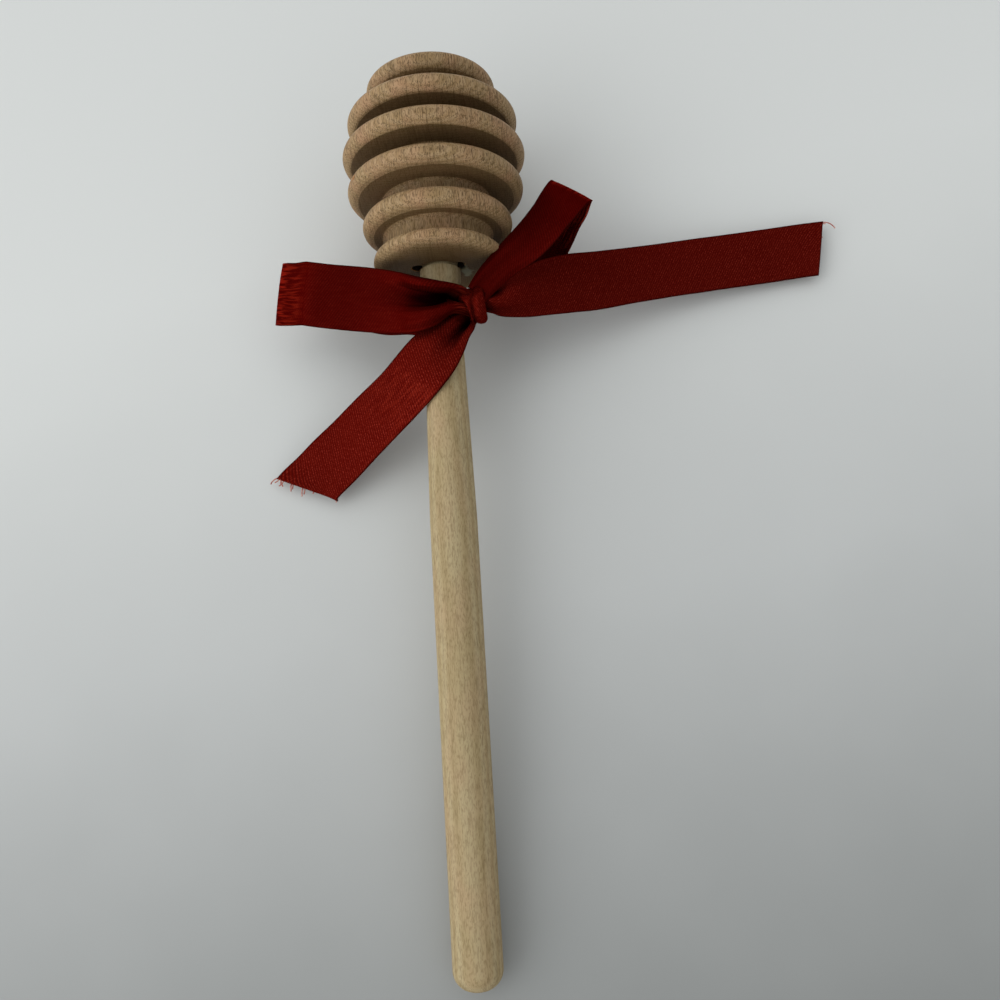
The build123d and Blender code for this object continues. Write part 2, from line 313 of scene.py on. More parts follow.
def head_outline():
    """Radius and reach along the head's surface, from the bottom of the bore round to the far end"""
    bore_end = underside_reach + bore_depth
    mouth_radius = bore_radius + mouth_width
    near_edge = ring_radii[0] - underside_round
    outline = [(0, bore_end), (bore_radius, bore_end), (bore_radius, underside_reach + mouth_width)]
    for step in range(underside_steps):
        share = (step / underside_steps) ** underside_crowding
        outline.append((mouth_radius + (near_edge - mouth_radius) * share, underside_reach))
    outline += underside_curve() + rim_side(0, 1)[1:]
    for i in range(1, len(ring_radii)):
        outline += root_corner(ring_places[i - 1] + ring_half, 1)
        outline += root_corner(ring_places[i] - ring_half, -1)[::-1]
        outline += rim_side(i, -1)[::-1] + rim_side(i, 1)[1:]
    far_radius, far_reach = outline[-1]
    for share in (0.75, 0.5, 0.25):
        outline.append((far_radius * share, far_reach + end_dome * (1 - share**2)))
    outline.append((0, far_reach + end_dome))
    return outline


def turned_mesh(outline, steps):
    """Solid of revolution about Y from an outline of radius and reach"""
    mesh = bmesh.new()
    verts = [mesh.verts.new((radius, reach, 0)) for radius, reach in outline]
    edges = [mesh.edges.new(pair) for pair in zip(verts, verts[1:])]
    bmesh.ops.spin(mesh, geom=verts + edges, cent=(0, 0, 0), axis=(0, 1, 0), dvec=(0, 0, 0),
                   angle=math.tau, steps=steps, use_merge=True, use_duplicate=False)
    bmesh.ops.remove_doubles(mesh, verts=mesh.verts, dist=doubles_reach)
    bmesh.ops.recalc_face_normals(mesh, faces=mesh.faces)
    return mesh


# torn spots at the mouth of the bore: angle seen from the butt, width, spread outward and depth
mouth_tears = (
    (math.radians(26), 1.3 * mm, 1.3 * mm, 2.6 * mm),
    (math.radians(6), 1.1 * mm, 1.0 * mm, 1.6 * mm),
    (math.radians(160), 1.5 * mm, 1.5 * mm, 2.0 * mm),
)
mouth_margin = 2.0 * mm                 # how far round the bore its mouth is torn
fibre_length = 0.4 * mm
tear_roughness = 0.5
# the torn spots and the nick carry painted shade in their hollows, dark everywhere but their edge
tear_shade_gain = 8                       # high, so that only a thin edge of a torn spot stays light
smear_angle = math.radians(-14)
smear_reach = 4.8 * mm                  # from the bore's middle
smear_size = 1.1 * mm
smear_stretch = 3                       # how much longer than wide the smear is
smear_patch = 0.9 * mm
smear_roughness = 0.6
smear_spot = Vector((math.cos(smear_angle), 0, math.sin(smear_angle))) * smear_reach
smear_spot.y = underside_reach
nicked_ring = 2
nick_angle = math.radians(150)
nick_size = 0.9 * mm
nick_depth = 0.9 * mm
nick_aside = 0.5 * mm                   # from the ring's middle, away from the handle
nick_spot = Vector((math.cos(nick_angle), 0, math.sin(nick_angle))) * ring_radii[nicked_ring]
nick_spot.y = ring_places[nicked_ring] + nick_aside


def fade(distance, reach):
    """Weight that falls smoothly from 1 to 0 over a reach"""
    share = min(1.0, distance / reach)
    return (1 - share**2) ** 2


def wear_head(mesh):
    """Uneven turning, torn fibres round the bore, a nick in one ring and a smear of glue"""
    torn = mesh.verts.layers.float.new("torn")
    smeared = mesh.verts.layers.float.new("smeared")
    for vert in mesh.verts:
        x, reach, z = vert.co
        radius = math.hypot(x, z)
        if radius < bore_radius / 2:
            continue
        angle = math.atan2(z, x)
        outward = Vector((x, 0, z)) / radius
        if radius > core_radius + groove_root_round:
            vert.co += outward * turning_wobble * noise.noise(vert.co / wobble_length)
        if reach < underside_reach + 2 * mouth_width and radius < bore_radius + mouth_margin:
            for tear_angle, tear_width, tear_spread, tear_depth in mouth_tears:
                aside = abs(angle - tear_angle) * radius
                out = max(0.0, radius - bore_radius - mouth_width)
                weight = fade(math.hypot(aside / tear_width, out / tear_spread), 1.0)
                rough = 1 + tear_roughness * noise.noise(vert.co / fibre_length)
                vert[torn] = max(vert[torn], min(1.0, tear_shade_gain * weight * rough))
                vert.co += Vector((0, 1, 0)) * tear_depth * weight * rough
        uneven = 1 + smear_roughness * noise.noise(vert.co / smear_patch)
        from_smear = vert.co - smear_spot
        from_smear.z /= smear_stretch
        vert[smeared] = fade(from_smear.length * uneven, smear_size)
        weight = fade((vert.co - nick_spot).length, nick_size)
        vert[torn] = max(vert[torn], weight)
        vert.co -= outward * nick_depth * weight


def laid_down(name, mesh, material):
    """Turned object moved from the Y axis to its resting place"""
    bmesh.ops.transform(mesh, matrix=lying, verts=mesh.verts)
    return finished(name, mesh, material)


def wood_coordinates(tree):
    """Millimetres across and along the wood, with Y along the handle's own axis"""
    place = add_node(tree, "TexCoord", {})
    to_axis = lying.inverted()
    return add_node(tree, "Mapping", {
        "Vector": place.outputs["Object"], "Scale": (1 / mm,) * 3,
        "Rotation": to_axis.to_euler(), "Location": to_axis.to_translation() / mm,
    })


def stretched_noise(tree, place, sizes, detail, roughness=0.55):
    """Noise with patches of the given sizes in millimetres, along X, Y and Z"""
    drawn = add_node(tree, "Mapping", {"Vector": place, "Scale": [1 / size for size in sizes]})
    return add_node(tree, "TexNoise", {"Vector": drawn, "Scale": 1.0, "Detail": detail,
                                       "Roughness": roughness})


def tinted(tree, share, tone, colour):
    """Tone covered with another colour by a share"""
    over = linear_colour(colour) if isinstance(colour, str) else colour
    return add_node(tree, "Mix", {"Factor": share, "A": tone, "B": over}, data_type="RGBA")


def masked(tree, pattern, low, high, share):
    """Mask that rises from nothing to a share while a pattern runs from low to high"""
    return add_node(tree, "ValToRGB", {"Fac": pattern}, stops=((low, 0.0), (high, share)))


def painted(tree, name):
    """Weight that the mesh holds under a name"""
    return add_node(tree, "Attribute", {}, attribute_name=name).outputs["Fac"]


wave_scale = math.tau / 20              # makes the waves of Blender's wave texture one unit long


def turned_wood(name, tones, warm_tone, dark_tone, layer, ray, ray_share, pore, pore_share, line_share,
                end_grain_and_shade_share, groove_shade_share):
    """Bare wood: growth layers lie flat, ray sheets stand on them, and pores run along the grain"""
    material, tree = new_material(name)
    place = wood_coordinates(tree)
    # growth layers, which show as ovals where a round surface is level with them
    wander = stretched_noise(tree, place, (6.0, 30.0, 6.0), 2.0)
    shifted = add_node(tree, "VectorMath", {0: wander.outputs["Color"], 1: (layer * 0.9,) * 3, 2: place},
                       operation="MULTIPLY_ADD")
    layers = add_node(tree, "TexWave", {"Vector": shifted, "Scale": wave_scale / layer, "Distortion": 0.0},
                      wave_type="BANDS", bands_direction="Z", wave_profile="SIN")
    tone = add_node(tree, "ValToRGB", {"Fac": layers.outputs["Fac"]},
                    stops=((0.0, tones[0]), (0.3, tones[1]), (0.8, tones[2])))
    # slow patches of a warmer colour
    patch = stretched_noise(tree, place, (4.0, 9.0, 4.0), 2.0)
    tone = tinted(tree, masked(tree, patch, 0.42, 0.72, 0.6), tone, warm_tone)
    # rays: thin sheets, so they are dashes on top and lines on the walls
    rays = stretched_noise(tree, place, ray, 2.0, 0.6)
    tone = tinted(tree, masked(tree, rays, 0.5, 0.64, ray_share), tone, dark_tone)
    # pores: fine short dark grooves
    pores = stretched_noise(tree, place, pore, 1.0, 0.5)
    pore_mask = masked(tree, pores, 0.53, 0.62, pore_share)
    tone = tinted(tree, pore_mask, tone, dark_tone)
    # a few long dark lines where pores lie in a row
    lines = stretched_noise(tree, place, (0.5, 90.0, 0.5), 3.0, 0.6)
    tone = tinted(tree, masked(tree, lines, 0.6, 0.7, line_share), tone, dark_tone)
    # end grain, on faces across the axis, drinks in more light; the darkening is deeper than that, as
    # painted shade on the walls of the slots between the rings
    normal = add_node(tree, "NewGeometry", {}).outputs["Normal"]
    facing = dotted(tree, normal, lying.to_3x3() @ Vector((0, 1, 0)))
    across_axis = calculated(tree, "ABSOLUTE", facing)
    tone = tinted(tree, masked(tree, across_axis, 0.93, 0.998, end_grain_and_shade_share), tone, dark_tone)
    # painted shade: groove floors are made darker near the core, for the shade deep in the slots
    beside_axis = add_node(tree, "VectorMath", {0: place, 1: (1, 0, 1)}, operation="MULTIPLY")
    from_axis = add_node(tree, "VectorMath", {0: beside_axis}, operation="LENGTH").outputs["Value"]
    painted_floor_shade = ranged(tree, from_axis, core_radius / mm, core_radius / mm + 2.5, groove_shade_share, 0.0)
    tone = tinted(tree, painted_floor_shade, tone, dark_tone)
    # torn spots and the nick: fresh orange wood at their edge, and painted shade that makes their hollow
    # bottoms dark
    torn = painted(tree, "torn")
    torn_wood_and_shade_tone = add_node(tree, "ValToRGB", {"Fac": torn}, stops=((0.35, "#a06a34"), (0.7, "#1c0f04")))
    tone = tinted(tree, ranged(tree, torn, 0.1, 0.35), tone, torn_wood_and_shade_tone)
    # a smear of dried glue, grey-green over the dark end grain
    tone = tinted(tree, ranged(tree, painted(tree, "smeared"), 0.1, 0.6, 0.0, 0.7), tone, "#8f917a")
    # relief of the pores and of the tool's fine rings
    tool_rings = stretched_noise(tree, place, (50.0, 0.4, 50.0), 1.0, 0.5)
    relief = add_node(tree, "Bump", {"Height": pore_mask, "Distance": 0.03 * mm, "Strength": 0.5},
                      invert=True)
    relief = add_node(tree, "Bump", {"Height": tool_rings.outputs[0], "Distance": 0.03 * mm, "Strength": 0.3,
                                     "Normal": relief})
    dry = ranged(tree, pores, 0.0, 1.0, 0.5, 0.7)
    surface = add_node(tree, "BsdfPrincipled", {"Base Color": tone, "Roughness": dry, "Normal": relief,
                                                "IOR": 1.5, "Specular IOR Level": 0.25})
    add_node(tree, "OutputMaterial", {"Surface": surface})
    return material


head_mesh = turned_mesh(head_outline(), head_turn_steps)
wear_head(head_mesh)
# raw beech off the lathe: brown with pinkish patches and dense dark flecks
raw_beech = turned_wood(
    "raw_turned_beech", tones=("#9c8058", "#a4875f", "#ac9069"), warm_tone="#b58a68", dark_tone="#46300f",
    layer=0.8, ray=(0.2, 2.4, 6.0), ray_share=0.42, pore=(0.14, 1.1, 0.14), pore_share=0.65, line_share=0.6,
    end_grain_and_shade_share=0.7, groove_shade_share=0.35,
)
turned_head = laid_down("turned_head", head_mesh, raw_beech)
turned_head.data.set_sharp_from_angle(angle=head_sharp_angle)
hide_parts("head")
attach(turned_head, "root")


# Handle
# A machined birch dowel with a rounded butt and a tapered neck, sanded but not varnished
# Its neck spreads to a shoulder against the head, and its tenon is glued in the head's bore
grip_length = 74.0 * mm
neck_radius = 3.1 * mm
shoulder_radius = 3.6 * mm              # where the neck meets the head
shoulder_start = 113.2 * mm
tenon_length = 20.0 * mm
tenon_chamfer = 0.5 * mm
handle_turn_steps = 96
handle_sharp_angle = math.radians(40)
round_steps = 12
taper_steps = 8


def handle_outline():
    """Radius and reach along the handle: round butt, straight grip, tapered neck, shoulder and tenon"""
    outline = [(0, 0)]
    for step in range(round_steps + 1):
        angle = math.pi / 2 * step / round_steps
        outline.append((butt_flat + butt_round * math.sin(angle), butt_round * (1 - math.cos(angle))))
    taper = (neck_radius - handle_radius) / (underside_reach - grip_length)
    for step in range(taper_steps + 1):
        reach = grip_length + (shoulder_start - grip_length) * step / taper_steps
        outline.append((handle_radius + taper * (reach - grip_length), reach))
    start = outline[-1][0]
    for step in range(1, round_steps + 1):
        share = step / round_steps
        flare = share * share * (3 - 2 * share)
        reach = shoulder_start + (underside_reach - mouth_width / 2 - shoulder_start) * share
        outline.append((start + (shoulder_radius - start) * flare, reach))
    outline.append((neck_radius, underside_reach - mouth_width / 4))
    outline.append((neck_radius, underside_reach + tenon_length - tenon_chamfer))
    outline.append((neck_radius - tenon_chamfer, underside_reach + tenon_length))
    outline.append((0, underside_reach + tenon_length))
    return outline


# pale smooth birch with faint flecks and a dull sanded face
sanded_birch = turned_wood(
    "sanded_birch", tones=("#a6926a", "#ad9971", "#b3a17b"), warm_tone="#b39874", dark_tone="#6f5934",
    layer=1.4, ray=(0.26, 2.0, 2.0), ray_share=0.3, pore=(0.17, 0.8, 0.17), pore_share=0.35, line_share=0.3,
    end_grain_and_shade_share=0.3, groove_shade_share=0.0,
)
handle = laid_down("turned_handle", turned_mesh(handle_outline(), handle_turn_steps), sanded_birch)
handle.data.set_sharp_from_angle(angle=handle_sharp_angle)
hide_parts("handle")
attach(handle, "root")


# Glue
# A thin film of dried white wood glue that fills the gap between the tenon and the bore
# It is hidden in the joint, so it keeps the shape of its solid
def dried_wood_glue():
    """Dried PVA glue: milky and slightly yellow, smooth with small bubbles"""
    material, tree = new_material("dried_wood_glue")
    place = object_in_millimetres(tree)
    bubbles = add_node(tree, "TexVoronoi", {"Vector": place, "Scale": 2.0})
    tone = add_node(tree, "ValToRGB", {"Fac": bubbles}, stops=((0.0, "#b9ad8c"), (0.6, "#d8cfb2")))
    relief = add_node(tree, "Bump", {"Height": bubbles.outputs[0], "Distance": 0.05 * mm, "Strength": 0.4})
    surface = add_node(tree, "BsdfPrincipled", {"Base Color": tone, "Roughness": 0.35, "IOR": 1.47,
                                                "Normal": relief})
    add_node(tree, "OutputMaterial", {"Surface": surface})
    return material


glue_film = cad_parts["glue_film"]
glue_film.data.materials.clear()
glue_film.data.materials.append(dried_wood_glue())


# Ribbon
# One length of 11 mm dark red satin ribbon, passed round the neck and tied in a bow
# Each stretch of it is a piece: its cloth is laid through stations that go out from the knot
ribbon_width = 11.0 * mm
ribbon_thickness = 0.28 * mm
selvedge_bead = 0.05 * mm
across_steps = 36
steps_between_stations = 8
cloth_ripple = 0.10 * mm
ripple_length = 6.0 * mm
fold_shade_depth = 1.3 * mm              # a fold as deep as this is black at its bottom
bend_slope = 0.48                       # rise over length where the cloth starts to count as bent over
bend_slope_range = 0.2
selvedge_bead_width = 0.5 * mm
knot_low, knot_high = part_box("knot")
knot_centre = (knot_low + knot_high) / 2

thread_spacing = 0.42                   # millimetres, twice as coarse as real satin so that its slant shows
satin_slant = math.radians(58)
selvedge_width = 0.35                   # millimetres
thread_patch = (0.17, 0.34, 1.0)        # millimetres across and along one thread's uneven gloss
bundle_patch = (0.35, 4.0, 1.0)         # millimetres across and along a bundle of stretched threads


def red_satin(name, tones, painted_glint_share):
    """Woven polyester satin: deep red with fine slanting ribs, with painted glints, painted highlight
    streaks and painted shade along the selvedge and in deep folds
    """
    material, tree = new_material(name)
    cloth = add_node(tree, "UVMap", {}, uv_map="cloth")
    slanted = add_node(tree, "Mapping", {"Vector": cloth, "Rotation": (0, 0, satin_slant),
                                         "Scale": (1 / thread_spacing,) * 3})
    waves = add_node(tree, "TexWave", {"Vector": slanted, "Scale": wave_scale, "Distortion": 0.8,
                                       "Detail": 1.0, "Detail Scale": 2.0},
                     wave_type="BANDS", bands_direction="X")
    ribs = waves.outputs["Fac"]
    thread_noise = stretched_noise(tree, cloth, thread_patch, 2.0, 0.5)
    tone = add_node(tree, "ValToRGB", {"Fac": ribs}, stops=((0.0, tones[0]), (1.0, tones[1])))
    # painted glints: bright specks on the threads along the ribs
    painted_glints = calculated(tree, "MULTIPLY", masked(tree, thread_noise, 0.5, 0.66, painted_glint_share), ribs)
    tone = tinted(tree, painted_glints, tone, "#a83c30")
    # painted shade: a band along each selvedge is darker, for the shade along its rolled edge
    across = add_node(tree, "SeparateXYZ", {"Vector": cloth}).outputs["X"]
    middle = ribbon_width / mm / 2
    from_middle = calculated(tree, "ABSOLUTE", calculated(tree, "SUBTRACT", across, middle))
    selvedge_shade = ranged(tree, from_middle, middle - selvedge_width, middle, 0.0, 0.65)
    tone = tinted(tree, selvedge_shade, tone, "#2c0604")
    # bundles of float threads catch the light in slanting streaks where the cloth is bent: the streaks are
    # painted highlight in its colour, and its metallic gloss rises along them
    bundles = add_node(tree, "Mapping", {"Vector": cloth, "Rotation": (0, 0, satin_slant),
                                         "Scale": [1 / size for size in bundle_patch]})
    bundle_noise = add_node(tree, "TexNoise", {"Vector": bundles, "Scale": 1.0, "Detail": 2.0})
    painted_highlight_share = ranged(tree, painted(tree, "bent"), 0.0, 1.0, 0.03, 0.8)
    highlight_streaks = calculated(tree, "MULTIPLY", ranged(tree, bundle_noise, 0.44, 0.62), painted_highlight_share)
    tone = tinted(tree, highlight_streaks, tone, "#9a3020")
    # painted shade: the bottom of a deep fold is painted nearly black, for the shade that the shallow folds
    # don't cast
    tone = tinted(tree, ranged(tree, painted(tree, "painted_fold_shade"), 0.0, 1.0, 0.0, 0.94), tone, "#080001")
    weave = calculated(tree, "ADD", ribs, thread_noise)
    relief = add_node(tree, "Bump", {"Height": weave, "Distance": 0.03 * mm, "Strength": 0.5})
    surface = add_node(tree, "BsdfPrincipled", {
        "Base Color": tone, "Metallic": ranged(tree, highlight_streaks, 0.0, 1.0, 0.5, 0.85),
        "Roughness": ranged(tree, thread_noise, 0.0, 1.0, 0.30, 0.50), "Specular IOR Level": 0.0,
        "Specular Tint": linear_colour("#d8351f"), "Anisotropic": 0.5, "Normal": relief,
        "Tangent": add_node(tree, "Tangent", {}, direction_type="UV_MAP", uv_map="cloth"),
    })
    add_node(tree, "OutputMaterial", {"Surface": surface})
    return material


# painted light: the loops take a darker, shaded copy of the satin, and the tails and the knot a lighter copy
# with many more painted glints
shaded_satin = red_satin("red_polyester_satin_shaded", ("#3a0302", "#470503"), 0.12)
lit_satin = red_satin("red_polyester_satin_lit_glinting", ("#440704", "#560b05"), 0.5)


def eased(stations, steps):
    """Adds stations between the chosen ones along a smooth curve through them"""
    smooth = []
    last = len(stations) - 1
    for i in range(last):
        before, start = stations[max(i - 1, 0)], stations[i]
        end, after = stations[i + 1], stations[min(i + 2, last)]
        for step in range(steps):
            t = step / steps
            smooth.append([
                b + ((c - a) * t + (2 * a - 5 * b + 4 * c - d) * t**2 + (3 * b - a - 3 * c + d) * t**3) / 2
                for a, b, c, d in zip(before, start, end, after)
            ])
    smooth.append(list(stations[last]))
    return smooth


def fold_place(profile, side):
    """Shift across and lift of a fold at a place across the ribbon, eased between its profile's points"""
    for (start, *low), (end, *high) in zip(profile, profile[1:]):
        if side <= end:
            t = (side - start) / (end - start)
            t = t * t * (3 - 2 * t)
            return [a + (b - a) * t for a, b in zip(low, high)]
    return profile[-1][1:]


thread_radius = 0.12 * mm
thread_root = 0.3 * mm                  # how far back from the cut a loose thread starts
thread_steps = 8
thread_slope = 0.1                      # how much a loose thread rises and falls on its way
thread_wave = 1.3                       # radians of that rise and fall in one step
thread_difference = 9                   # radians between the waves of the two outermost threads


def loose_thread_polyester():
    """Loose polyester filament: the satin's red made pale by the light that comes through"""
    material, tree = new_material("loose_polyester_thread")
    place = object_in_millimetres(tree)
    uneven = add_node(tree, "TexNoise", {"Vector": place, "Scale": 1.5, "Detail": 1.0})
    tone = add_node(tree, "ValToRGB", {"Fac": uneven.outputs[0]}, stops=((0.3, "#a0483c"), (0.7, "#cf9a8c")))
    surface = add_node(tree, "BsdfPrincipled", {"Base Color": tone, "Roughness": 0.5,
                                                "Specular IOR Level": 0.3})
    add_node(tree, "OutputMaterial", {"Surface": surface})
    return material


thread_material = loose_thread_polyester()


def frayed_threads(name, threads, end, half, onward):
    """Loose threads at a cut end: each has its place across the end, length in millimetres, turn and curl"""
    curve = bpy.data.curves.new(name, "CURVE")
    curve.dimensions = "3D"
    curve.bevel_depth = thread_radius
    curve.bevel_resolution = 1
    curve.use_fill_caps = True
    for side, length, turn, curl in threads:
        spline = curve.splines.new("POLY")
        spline.points.add(thread_steps)
        spot = end + half * 2 * side - onward * thread_root
        for i, point in enumerate(spline.points):
            point.co = (*spot, 1)
            direction = Matrix.Rotation(math.radians(turn + curl * i / thread_steps), 3, "Z") @ onward
            direction.z = thread_slope * math.sin(i * thread_wave + side * thread_difference)
            spot = spot + direction * length * mm / thread_steps
            spot.z = max(spot.z, 1.5 * thread_radius)
    source = bpy.data.objects.new(name + "_curve", curve)
    data = bpy.data.meshes.new_from_object(source)
    bpy.data.objects.remove(source)
    data.name = name
    data.materials.clear()
    data.materials.append(thread_material)
    data.shade_smooth()
    fringe = bpy.data.objects.new(name, data)
    scene.collection.objects.link(fringe)
    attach(fringe, "root")
    return fringe


# a station: along and aside in shares of the reach, height in shares of the knot's, turn and bank in
# degrees, width in shares of the ribbon's, and how far the middle is crowned, in the same shares
def laid_ribbon(name, satin, stations, heading, reach, pleats, threads=()):
    """Stretch of ribbon through its stations: pleats(side, share, slack) shifts and lifts gathered cloth"""
    rows = eased(stations, steps_between_stations)
    along = Vector((math.cos(heading), math.sin(heading), 0))
    beside = Vector((-math.sin(heading), math.cos(heading), 0))
    upward = Vector((0, 0, 1))
    foot = Vector((knot_centre.x, knot_centre.y, 0))
    centres = [
        foot + along * row[0] * reach + beside * row[1] * reach + upward * row[2] * knot_centre.z
        for row in rows
    ]
    lengths = [0.0]
    for a, b in zip(centres, centres[1:]):
        lengths.append(lengths[-1] + (b - a).length)
    mesh = bmesh.new()
    cloth = mesh.loops.layers.uv.new("cloth")
    painted_fold_shade = mesh.verts.layers.float.new("painted_fold_shade")
    bent = mesh.verts.layers.float.new("bent")
    bmesh.ops.create_grid(mesh, x_segments=across_steps, y_segments=len(rows) - 1, size=0.5)
    for face in mesh.faces:
        for loop in face.loops:
            spot = loop.vert.co
            row_number = round((spot.y + 0.5) * (len(rows) - 1))
            loop[cloth].uv = ((spot.x + 0.5) * ribbon_width / mm, lengths[row_number] / mm)
    for vert in mesh.verts:
        side = vert.co.x
        number = round((vert.co.y + 0.5) * (len(rows) - 1))
        share = number / (len(rows) - 1)
        row = rows[number]
        turn, bank = math.radians(row[3]), math.radians(row[4])
        level = beside * math.cos(turn) + along * math.sin(turn)
        across = level * math.cos(bank) + upward * math.sin(bank)
        ahead = centres[min(number + 1, len(rows) - 1)] - centres[max(number - 1, 0)]
        normal = ahead.cross(across).normalized()
        spot = centres[number] + across * side * row[5] * ribbon_width
        aside, raised = pleats(side, share, max(0.0, 1 - row[5]))
        spot += across * aside
        # weight of the painted fold shade: how far the cloth dips into a fold
        vert[painted_fold_shade] = min(1.0, max(0.0, -raised / fold_shade_depth))
        vert[bent] = min(1.0, max(0.0, (abs(ahead.normalized().z) - bend_slope) / bend_slope_range))
        lift = raised + row[6] * ribbon_width * (1 - 4 * side**2)
        ripple_place = Vector((side * ribbon_width, lengths[number], 0)) / ripple_length + foot / mm
        lift += cloth_ripple * noise.noise(ripple_place)
        lift += selvedge_bead * max(0.0, 1 - (0.5 - abs(side)) * ribbon_width / selvedge_bead_width)
        vert.co = spot + normal * lift
    made = finished(name, mesh, satin)
    body = made.modifiers.new("cloth_thickness", "SOLIDIFY")
    body.thickness = ribbon_thickness
    body.offset = 0
    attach(made, "root")
    onward = (centres[-1] - centres[-2]).normalized()
    last_half = across * rows[-1][5] * ribbon_width / 2
    fringe = frayed_threads(name + "_threads", threads, centres[-1], last_half, onward) if threads else None
    return made


# Left loop
# Half of the bow, in the darker, shaded copy of the satin: it runs out flat with its lower edge down, turns
# over and comes back
# The knot grips both its ends, and there its cloth is gathered into two folds with a deep valley
left_loop_reach = 36.0 * mm
left_loop_heading = math.radians(171)
left_loop_stations = (
    (0.03, 0.00, 0.90, 0, -10, 0.26, 0.00),
    (0.09, 0.01, 1.16, 0, -10, 0.42, 0.00),
    (0.17, 0.052, 1.24, -4, -14, 0.68, 0.00),
    (0.26, 0.06, 1.22, -4, -18, 0.84, -0.02),
    (0.37, 0.04, 1.14, -2, -21, 0.95, -0.01),
    (0.52, 0.02, 1.07, 1, -23, 1.00, 0.02),
    (0.69, 0.01, 1.04, 4, -24, 1.00, 0.02),
    (0.80, 0.00, 1.02, 4, -24, 1.00, 0.02),
    (0.84, -0.01, 0.985, 4, -24, 1.00, 0.02),
    (0.90, -0.02, 0.90, 5, -24, 1.00, 0.02),
    (0.96, -0.04, 0.80, 5, -24, 1.00, 0.02),
    (1.00, -0.06, 0.69, 5, -23, 1.00, 0.02),
    (0.99, -0.08, 0.59, 5, -22, 1.00, 0.02),
    (0.94, -0.10, 0.52, 5, -21, 1.00, 0.02),
    (0.85, -0.12, 0.47, 5, -20, 1.00, 0.02),
    (0.71, -0.13, 0.46, 4, -19, 1.00, 0.02),
    (0.57, -0.08, 0.54, 2, -18, 0.92, 0.02),
    (0.44, 0.00, 0.72, 0, -16, 0.74, 0.02),
    (0.33, 0.05, 0.88, 0, -16, 0.58, 0.02),
    (0.25, 0.085, 0.94, 0, -16, 0.42, 0.00),
    (0.18, 0.080, 0.96, 0, -12, 0.32, 0.00),
    (0.10, 0.035, 0.92, 0, -10, 0.24, 0.00),
    (0.03, 0.00, 0.90, 0, -10, 0.26, 0.00),
)
left_pleat_depth = 3.0 * mm
left_back_share = 0.25                  # how much shallower the back layer folds
left_flat_slack = 0.12                  # cloth that is gathered less than this lies nearly flat
# place across, shift and lift: a rolled lip that hangs over a deep valley, then a broad lower fold
left_pleat_profile = (
    (-0.50, 0.0, 0.3), (-0.44, 0.0, 0.8), (-0.38, 0.1, 0.9), (-0.33, 0.1, 0.3), (-0.27, 0.0, -0.8),
    (-0.14, 0.0, -1.15), (0.0, 0.0, -0.9), (0.08, 0.0, 0.1), (0.15, 0.05, 0.7), (0.3, 0.05, 0.8),
    (0.5, 0.0, 0.1),
)


def left_loop_pleats(side, share, slack):
    """Folds of the front layer, and the back layer nested in them"""
    aside, lift = fold_place(left_pleat_profile, side)
    nested = 1.0 if share < 0.5 else -left_back_share
    size = left_pleat_depth * slack**0.5 * min(1.0, slack / left_flat_slack)
    return aside * size, lift * nested * size


left_loop = laid_ribbon("satin_left_loop", shaded_satin, left_loop_stations, left_loop_heading,
                        left_loop_reach, left_loop_pleats)
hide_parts("left_loop")


# Right loop
# The other half of the bow, in the darker, shaded copy of the satin: it stands on its far end, its right
# edge curled up by the knot
# Both its ends are held in the knot
right_loop_reach = 27.5 * mm
right_loop_heading = math.radians(50)
right_loop_stations = (
    (0.05, 0.02, 1.08, 10, 6, 0.38, 0.00),
    (0.16, 0.02, 1.10, 16, 6, 0.44, 0.05),
    (0.29, 0.00, 1.13, 6, -1, 0.51, 0.06),
    (0.38, -0.025, 1.16, 5, -9, 0.62, 0.05),
    (0.47, -0.05, 1.20, 4, -18, 0.75, 0.03),
    (0.57, -0.065, 1.235, 2, -26, 0.86, 0.02),
    (0.66, -0.07, 1.26, 5, -32, 0.96, 0.02),
    (0.75, -0.07, 1.26, 8, -32, 1.00, 0.02),
    (0.84, -0.06, 1.24, 9, -29, 1.00, 0.02),
    (0.93, -0.05, 1.19, 10, -26, 1.00, 0.02),
    (0.98, -0.04, 1.10, 10, -25, 1.00, 0.02),
    (0.99, -0.02, 0.98, 10, -25, 1.00, 0.02),
    (0.95, -0.02, 0.85, 10, -25, 1.00, 0.02),
    (0.89, -0.01, 0.72, 10, -25, 1.00, 0.02),
    (0.82, -0.01, 0.60, 10, -24, 1.00, 0.02),
    (0.74, -0.01, 0.51, 10, -22, 1.00, 0.02),
    (0.62, -0.03, 0.48, 10, -20, 1.00, 0.02),
    (0.46, -0.06, 0.55, 10, -16, 0.80, 0.04),
    (0.29, -0.06, 0.72, 10, -12, 0.55, 0.06),
    (0.15, -0.05, 0.88, 10, -8, 0.38, 0.04),
    (0.05, -0.02, 0.96, 10, 0, 0.28, 0.00),
)
right_pleat_depth = 1.1 * mm
right_pleat_profile = (
    (-0.5, 0.0, 0.0), (-0.4, 0.0, 0.6), (-0.2, 0.0, 0.1), (0.1, 0.0, -0.3), (0.35, 0.0, 0.3),
    (0.5, 0.0, 0.0),
)


def right_loop_pleats(side, share, slack):
    """A low ridge along the right edge and a shallow valley beside it"""
    aside, lift = fold_place(right_pleat_profile, side)
    nested = 1.0 if share < 0.5 else -1.0
    return aside, right_pleat_depth * nested * slack * lift


right_loop = laid_ribbon("satin_right_loop", shaded_satin, right_loop_stations, right_loop_heading,
                         right_loop_reach, right_loop_pleats)
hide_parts("right_loop")
